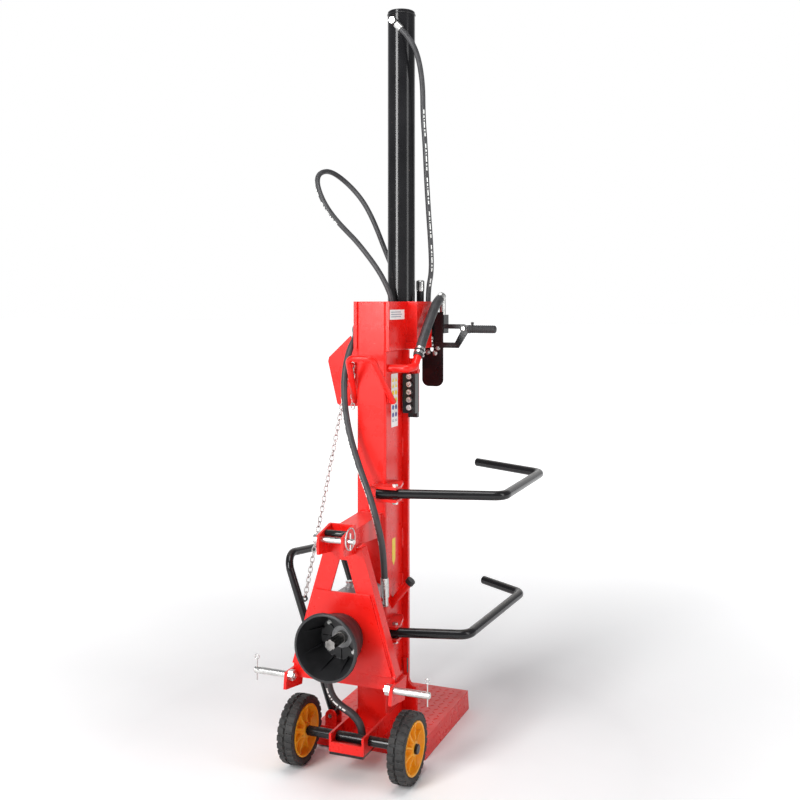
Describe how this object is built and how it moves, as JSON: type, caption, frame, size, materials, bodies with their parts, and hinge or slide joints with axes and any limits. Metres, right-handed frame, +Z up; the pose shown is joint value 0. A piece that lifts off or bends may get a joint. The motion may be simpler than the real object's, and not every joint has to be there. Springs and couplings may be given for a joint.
{
  "type": "tractor log splitter",
  "caption": "Upright hydraulic log splitter for a tractor's three-point linkage, with a sliding wedge, log lifter, swinging log arms, PTO pump drive and transport wheels.",
  "frame": {"origin": "on the ground under the middle of the column, at the base plate's underside", "axes": "+Z up; -Y towards the tractor, with the linkage pins and PTO; +Y the splitting side; +X the side of the swinging log arms and the control lever"},
  "size_m": [0.8178, 1.0752, 2.6],
  "materials": {
    "red_paint": "gloss",
    "black_paint": "gloss",
    "zinc": "satin",
    "chrome_rod": "polished",
    "cast_housing": "painted satin",
    "pump_metal": "cast",
    "spline_steel": "satin",
    "tyre_rubber": "matte",
    "hub_plastic": "satin",
    "guard_rubber": "matte",
    "hose_rubber": "matte",
    "grip_rubber": "matte",
    "cap_plastic": "gloss",
    "valve_iron": "painted satin",
    "seal_bronze": "satin"
  },
  "bodies": {
    "machine": {"base_plate": "red_paint", "column": "red_paint", "rail_plate": "red_paint", "head_bracket": "red_paint", "hitch_crossbar": "red_paint", "a_frame": "red_paint", "pump_plate": "red_paint", "brace": "red_paint", "top_link_clevis": "red_paint", "wheel_bracket": "red_paint", "lifter_mount": "red_paint", "chain_plate": "red_paint", "arm_bracket_upper": "red_paint", "arm_bracket_lower": "red_paint", "lift_handle": "red_paint", "tank_pipes": "red_paint", "cylinder_barrel": "black_paint", "valve_shield": "black_paint", "axle": "black_paint", "flange_bolts": "zinc", "top_link_pin": "zinc", "pin_hardware": "zinc", "lower_pin_left": "zinc", "lower_pin_right": "zinc", "pivot_pins": "zinc", "chain_tail": "zinc", "ram_fittings": "zinc", "valve_fittings": "zinc", "pump_fittings": "zinc", "gland": "seal_bronze", "gearbox_housing": "cast_housing", "pump": "pump_metal", "pto_guard": "guard_rubber", "hose_top": "hose_rubber", "hose_loop": "hose_rubber", "hose_return": "hose_rubber", "hose_pressure": "hose_rubber", "hose_suction": "hose_rubber", "filler_cap": "cap_plastic", "valve_body": "valve_iron"},
    "carriage": {"carriage_plate": "red_paint", "wedge": "red_paint", "keeper_left": "black_paint", "keeper_right": "black_paint", "carriage_fasteners": "zinc", "piston_rod": "chrome_rod"},
    "lever": {"control_lever": "black_paint", "lever_grip": "grip_rubber"},
    "spool_body": {"spool": "zinc"},
    "lifter": {"lifter_frame": "black_paint"},
    "chain_body": {"chain": "zinc"},
    "arm_upper_body": {"arm_upper": "black_paint"},
    "arm_lower_body": {"arm_lower": "black_paint"},
    "wheel_left": {"tyre_left": "tyre_rubber", "hub_left": "hub_plastic"},
    "wheel_right": {"tyre_right": "tyre_rubber", "hub_right": "hub_plastic"},
    "pto": {"pto_shaft": "spline_steel"},
    "clip_left_body": {"clip_left": "zinc"},
    "clip_right_body": {"clip_right": "zinc"}
  },
  "joints": [
    {"name": "carriage_slide", "type": "slide", "parent": "machine", "child": "carriage", "axis": [0, 0, -1], "range_m": [0, 0.85]},
    {"name": "lever_pivot", "type": "hinge", "parent": "machine", "child": "lever", "pos_m": [0.226, 0.242, 1.443], "axis": [0, 1, 0], "range_deg": [-5.5, 5.5], "stiffness_Nm_per_rad": 60},
    {"name": "spool_slide", "type": "slide", "parent": "machine", "child": "spool_body", "axis": [0, 0, 1], "range_m": [-0.0122, 0.0122]},
    {"name": "lifter_hinge", "type": "hinge", "parent": "machine", "child": "lifter", "pos_m": [-0.152, 0.145, 0.108], "axis": [0, -1, 0], "range_deg": [0, 75]},
    {"name": "chain_hinge", "type": "hinge", "parent": "machine", "child": "chain_body", "pos_m": [-0.0917, -0.049, 1.323], "axis": [0, -1, 0], "range_deg": [-9.6, 0]},
    {"name": "upper_arm_hinge", "type": "hinge", "parent": "machine", "child": "arm_upper_body", "pos_m": [0.097, -0.095, 0.896], "axis": [0, 0, 1], "range_deg": [0, 32]},
    {"name": "lower_arm_hinge", "type": "hinge", "parent": "machine", "child": "arm_lower_body", "pos_m": [0.097, -0.095, 0.431], "axis": [0, 0, 1], "range_deg": [0, 32]},
    {"name": "left_wheel_spin", "type": "hinge", "parent": "machine", "child": "wheel_left", "pos_m": [-0.194, -0.224, 0.114], "axis": [1, 0, 0], "continuous": true},
    {"name": "right_wheel_spin", "type": "hinge", "parent": "machine", "child": "wheel_right", "pos_m": [0.194, -0.224, 0.114], "axis": [1, 0, 0], "continuous": true},
    {"name": "clip_left_pull", "type": "slide", "parent": "machine", "child": "clip_left_body", "axis": [0, 0, 1], "range_m": [0, 0.08]},
    {"name": "clip_right_pull", "type": "slide", "parent": "machine", "child": "clip_right_body", "axis": [0, 0, 1], "range_m": [0, 0.08]},
    {"name": "pto_spin", "type": "hinge", "parent": "machine", "child": "pto", "pos_m": [0, -0.3, 0.47], "axis": [0, -1, 0], "continuous": true}
  ],
  "couplings": [
    {"joint": "spool_slide", "follows": "lever_pivot", "m_per_rad": 0.126},
    {"joint": "chain_hinge", "follows": "lifter_hinge", "ratio": -0.1266}
  ]
}
